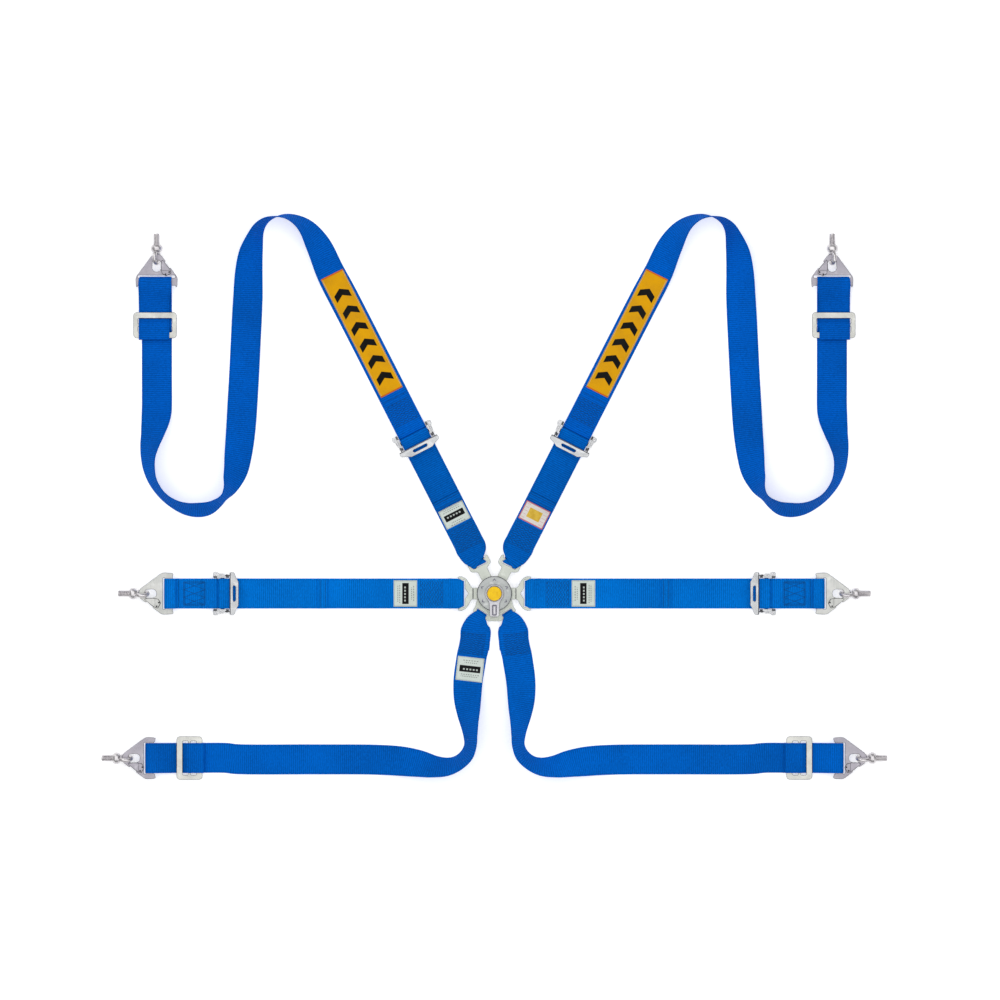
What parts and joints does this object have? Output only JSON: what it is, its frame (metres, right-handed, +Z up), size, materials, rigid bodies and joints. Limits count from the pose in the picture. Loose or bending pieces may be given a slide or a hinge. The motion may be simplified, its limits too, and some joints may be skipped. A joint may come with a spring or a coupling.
{
  "type": "racing harness",
  "caption": "Six-point racing harness laid flat: cam-lock buckle with release tongues, 50 mm webbing belts, adjusters, slides, snap hooks and eyebolts.",
  "frame": {"origin": "under the centre of the buckle, on the surface that the harness lies on", "axes": "+X to the right shoulder and lap belt as seen from above, +Y from the buckle towards the shoulder belts, +Z up from the surface"},
  "size_m": [1.308, 0.9431, 0.0501],
  "materials": {
    "webbing": "royal blue woven polyester webbing, matt, fine cross ribs",
    "satin_plate": "light grey-green satin plated steel",
    "buckle_alloy": "satin die-cast alloy",
    "zinc_plate": "zinc plated pressed steel, slightly lavender",
    "eyebolt_zinc": "zinc plated forged steel",
    "bright_nickel": "bright nickel plated steel",
    "inner_steel": "plain steel",
    "yellow_cap": "yellow printed disc, plain",
    "yellow_label": "golden yellow woven label",
    "white_label": "pale mint woven label",
    "stitching": "dark blue bonded thread"
  },
  "bodies": {
    "buckle": {"buckle_back_plate": "satin_plate", "buckle_body": "buckle_alloy", "buckle_cover": "buckle_alloy", "centre_post": "inner_steel", "lever_return_spring": "inner_steel"},
    "lever": {"release_lever": "buckle_alloy", "cam_rotor": "inner_steel", "centre_cap": "yellow_cap"},
    "latch_pin_lap_right": {"latch_pin_lap_right": "inner_steel"},
    "latch_pin_shoulder_right": {"latch_pin_shoulder_right": "inner_steel"},
    "latch_pin_shoulder_left": {"latch_pin_shoulder_left": "inner_steel"},
    "latch_pin_lap_left": {"latch_pin_lap_left": "inner_steel"},
    "shoulder_belt_left": {"shoulder_tongue_left": "satin_plate", "shoulder_belt_lower_left": "webbing", "shoulder_adjuster_frame_left": "bright_nickel", "shoulder_grip_bar_left": "inner_steel", "shoulder_belt_upper_left": "webbing", "shoulder_slide_left": "zinc_plate"},
    "lap_belt_left": {"lap_tongue_left": "satin_plate", "lap_belt_left": "webbing", "lap_adjuster_frame_left": "bright_nickel", "lap_grip_bar_left": "inner_steel", "lap_anchor_loop_left": "webbing"},
    "crotch_belt_left": {"crotch_belt_left": "webbing", "crotch_slide_left": "zinc_plate"},
    "shoulder_adjuster_lever_left": {"shoulder_adjuster_lever_left": "bright_nickel"},
    "lap_adjuster_lever_left": {"lap_adjuster_lever_left": "bright_nickel"},
    "shoulder_hook_left": {"shoulder_hook_left": "zinc_plate"},
    "shoulder_gate_left": {"shoulder_gate_left": "zinc_plate"},
    "shoulder_eyebolt_left": {"shoulder_eyebolt_left": "eyebolt_zinc"},
    "lap_hook_left": {"lap_hook_left": "satin_plate"},
    "lap_gate_left": {"lap_gate_left": "satin_plate"},
    "lap_eyebolt_left": {"lap_eyebolt_left": "eyebolt_zinc"},
    "crotch_hook_left": {"crotch_hook_left": "zinc_plate"},
    "crotch_gate_left": {"crotch_gate_left": "zinc_plate"},
    "crotch_eyebolt_left": {"crotch_eyebolt_left": "eyebolt_zinc"},
    "shoulder_belt_right": {"shoulder_tongue_right": "satin_plate", "shoulder_belt_lower_right": "webbing", "shoulder_adjuster_frame_right": "bright_nickel", "shoulder_grip_bar_right": "inner_steel", "shoulder_belt_upper_right": "webbing", "shoulder_slide_right": "zinc_plate"},
    "lap_belt_right": {"lap_tongue_right": "satin_plate", "lap_belt_right": "webbing", "lap_adjuster_frame_right": "bright_nickel", "lap_grip_bar_right": "inner_steel", "lap_anchor_loop_right": "webbing"},
    "crotch_belt_right": {"crotch_belt_right": "webbing", "crotch_slide_right": "zinc_plate"},
    "shoulder_adjuster_lever_right": {"shoulder_adjuster_lever_right": "bright_nickel"},
    "lap_adjuster_lever_right": {"lap_adjuster_lever_right": "bright_nickel"},
    "shoulder_hook_right": {"shoulder_hook_right": "zinc_plate"},
    "shoulder_gate_right": {"shoulder_gate_right": "zinc_plate"},
    "shoulder_eyebolt_right": {"shoulder_eyebolt_right": "eyebolt_zinc"},
    "lap_hook_right": {"lap_hook_right": "satin_plate"},
    "lap_gate_right": {"lap_gate_right": "satin_plate"},
    "lap_eyebolt_right": {"lap_eyebolt_right": "eyebolt_zinc"},
    "crotch_hook_right": {"crotch_hook_right": "zinc_plate"},
    "crotch_gate_right": {"crotch_gate_right": "zinc_plate"},
    "crotch_eyebolt_right": {"crotch_eyebolt_right": "eyebolt_zinc"}
  },
  "joints": [
    {"name": "lever_turn", "type": "hinge", "parent": "buckle", "child": "lever", "pos_m": [0, 0, 0.0256], "axis": [0, 0, 1], "range_deg": [0, 60], "stiffness_Nm_per_rad": 0.15},
    {"name": "latch_pin_lap_right_lift", "type": "slide", "parent": "buckle", "child": "latch_pin_lap_right", "axis": [0, 0, 1], "range_m": [0, 0.004]},
    {"name": "latch_pin_shoulder_right_lift", "type": "slide", "parent": "buckle", "child": "latch_pin_shoulder_right", "axis": [0, 0, 1], "range_m": [0, 0.004]},
    {"name": "latch_pin_shoulder_left_lift", "type": "slide", "parent": "buckle", "child": "latch_pin_shoulder_left", "axis": [0, 0, 1], "range_m": [0, 0.004]},
    {"name": "latch_pin_lap_left_lift", "type": "slide", "parent": "buckle", "child": "latch_pin_lap_left", "axis": [0, 0, 1], "range_m": [0, 0.004]},
    {"name": "lap_tongue_right_release", "type": "slide", "parent": "buckle", "child": "lap_belt_right", "axis": [1, 0, 0], "range_m": [0, 0.018]},
    {"name": "lap_adjuster_lever_right_lift", "type": "hinge", "parent": "lap_belt_right", "child": "lap_adjuster_lever_right", "pos_m": [0.4458, 0, 0.0062], "axis": [0, 1, 0], "range_deg": [0, 60]},
    {"name": "shoulder_tongue_right_release", "type": "slide", "parent": "buckle", "child": "shoulder_belt_right", "axis": [0.454, 0.891, 0], "range_m": [0, 0.018]},
    {"name": "shoulder_adjuster_lever_right_lift", "type": "hinge", "parent": "shoulder_belt_right", "child": "shoulder_adjuster_lever_right", "pos_m": [0.1293, 0.25376, 0.0062], "axis": [-0.891, 0.454, 0], "range_deg": [0, 60]},
    {"name": "shoulder_tongue_left_release", "type": "slide", "parent": "buckle", "child": "shoulder_belt_left", "axis": [-0.454, 0.891, 0], "range_m": [0, 0.018]},
    {"name": "shoulder_adjuster_lever_left_lift", "type": "hinge", "parent": "shoulder_belt_left", "child": "shoulder_adjuster_lever_left", "pos_m": [-0.1293, 0.25376, 0.0062], "axis": [-0.891, -0.454, 0], "range_deg": [0, 60]},
    {"name": "lap_tongue_left_release", "type": "slide", "parent": "buckle", "child": "lap_belt_left", "axis": [-1, 0, 0], "range_m": [0, 0.018]},
    {"name": "lap_adjuster_lever_left_lift", "type": "hinge", "parent": "lap_belt_left", "child": "lap_adjuster_lever_left", "pos_m": [-0.4458, 0, 0.0062], "axis": [0, -1, 0], "range_deg": [0, 60]},
    {"name": "shoulder_hook_left_tilt", "type": "hinge", "parent": "shoulder_belt_left", "child": "shoulder_hook_left", "pos_m": [-0.5625, 0.5191, 0.0134], "axis": [1, 0, 0], "range_deg": [0, 40]},
    {"name": "shoulder_gate_left_spring", "type": "hinge", "parent": "shoulder_hook_left", "child": "shoulder_gate_left", "pos_m": [-0.5625, 0.5311, 0.0152], "axis": [1, 0, 0], "range_deg": [0, 15], "stiffness_Nm_per_rad": 0.2},
    {"name": "shoulder_eyebolt_left_swing", "type": "hinge", "parent": "shoulder_hook_left", "child": "shoulder_eyebolt_left", "pos_m": [-0.5625, 0.55, 0.0134], "axis": [0, 0, 1], "range_deg": [-20, 20]},
    {"name": "shoulder_hook_right_tilt", "type": "hinge", "parent": "shoulder_belt_right", "child": "shoulder_hook_right", "pos_m": [0.5625, 0.5191, 0.0134], "axis": [1, 0, 0], "range_deg": [0, 40]},
    {"name": "shoulder_gate_right_spring", "type": "hinge", "parent": "shoulder_hook_right", "child": "shoulder_gate_right", "pos_m": [0.5625, 0.5311, 0.0152], "axis": [1, 0, 0], "range_deg": [0, 15], "stiffness_Nm_per_rad": 0.2},
    {"name": "shoulder_eyebolt_right_swing", "type": "hinge", "parent": "shoulder_hook_right", "child": "shoulder_eyebolt_right", "pos_m": [0.5625, 0.55, 0.0134], "axis": [0, 0, 1], "range_deg": [-20, 20]},
    {"name": "lap_hook_left_tilt", "type": "hinge", "parent": "lap_belt_left", "child": "lap_hook_left", "pos_m": [-0.5415, 0, 0.0134], "axis": [0, 1, 0], "range_deg": [0, 40]},
    {"name": "lap_gate_left_spring", "type": "hinge", "parent": "lap_hook_left", "child": "lap_gate_left", "pos_m": [-0.5581, 0, 0.0152], "axis": [0, 1, 0], "range_deg": [0, 15], "stiffness_Nm_per_rad": 0.2},
    {"name": "lap_eyebolt_left_swing", "type": "hinge", "parent": "lap_hook_left", "child": "lap_eyebolt_left", "pos_m": [-0.577, 0, 0.0134], "axis": [0, 0, 1], "range_deg": [-20, 20]},
    {"name": "lap_hook_right_tilt", "type": "hinge", "parent": "lap_belt_right", "child": "lap_hook_right", "pos_m": [0.5415, 0, 0.0134], "axis": [0, -1, 0], "range_deg": [0, 40]},
    {"name": "lap_gate_right_spring", "type": "hinge", "parent": "lap_hook_right", "child": "lap_gate_right", "pos_m": [0.5581, 0, 0.0152], "axis": [0, -1, 0], "range_deg": [0, 15], "stiffness_Nm_per_rad": 0.2},
    {"name": "lap_eyebolt_right_swing", "type": "hinge", "parent": "lap_hook_right", "child": "lap_eyebolt_right", "pos_m": [0.577, 0, 0.0134], "axis": [0, 0, 1], "range_deg": [-20, 20]},
    {"name": "crotch_hook_left_tilt", "type": "hinge", "parent": "crotch_belt_left", "child": "crotch_hook_left", "pos_m": [-0.573, -0.274, 0.0134], "axis": [0, 1, 0], "range_deg": [0, 40]},
    {"name": "crotch_gate_left_spring", "type": "hinge", "parent": "crotch_hook_left", "child": "crotch_gate_left", "pos_m": [-0.5856, -0.274, 0.0152], "axis": [0, 1, 0], "range_deg": [0, 15], "stiffness_Nm_per_rad": 0.2},
    {"name": "crotch_eyebolt_left_swing", "type": "hinge", "parent": "crotch_hook_left", "child": "crotch_eyebolt_left", "pos_m": [-0.6045, -0.274, 0.0134], "axis": [0, 0, 1], "range_deg": [-20, 20]},
    {"name": "crotch_hook_right_tilt", "type": "hinge", "parent": "crotch_belt_right", "child": "crotch_hook_right", "pos_m": [0.573, -0.274, 0.0134], "axis": [0, -1, 0], "range_deg": [0, 40]},
    {"name": "crotch_gate_right_spring", "type": "hinge", "parent": "crotch_hook_right", "child": "crotch_gate_right", "pos_m": [0.5856, -0.274, 0.0152], "axis": [0, -1, 0], "range_deg": [0, 15], "stiffness_Nm_per_rad": 0.2},
    {"name": "crotch_eyebolt_right_swing", "type": "hinge", "parent": "crotch_hook_right", "child": "crotch_eyebolt_right", "pos_m": [0.6045, -0.274, 0.0134], "axis": [0, 0, 1], "range_deg": [-20, 20]},
    {"name": "crotch_belt_left_lift", "type": "hinge", "parent": "buckle", "child": "crotch_belt_left", "pos_m": [-0.02277, -0.03457, 0.0054], "axis": [-0.8351, 0.5501, 0], "range_deg": [0, 25]},
    {"name": "crotch_belt_right_lift", "type": "hinge", "parent": "buckle", "child": "crotch_belt_right", "pos_m": [0.02277, -0.03457, 0.0054], "axis": [-0.8351, -0.5501, 0], "range_deg": [0, 25]}
  ],
  "couplings": [
    {"joint": "latch_pin_lap_right_lift", "follows": "lever_turn", "m_per_rad": 0.0038},
    {"joint": "latch_pin_shoulder_right_lift", "follows": "lever_turn", "m_per_rad": 0.0038},
    {"joint": "latch_pin_shoulder_left_lift", "follows": "lever_turn", "m_per_rad": 0.0038},
    {"joint": "latch_pin_lap_left_lift", "follows": "lever_turn", "m_per_rad": 0.0038}
  ]
}
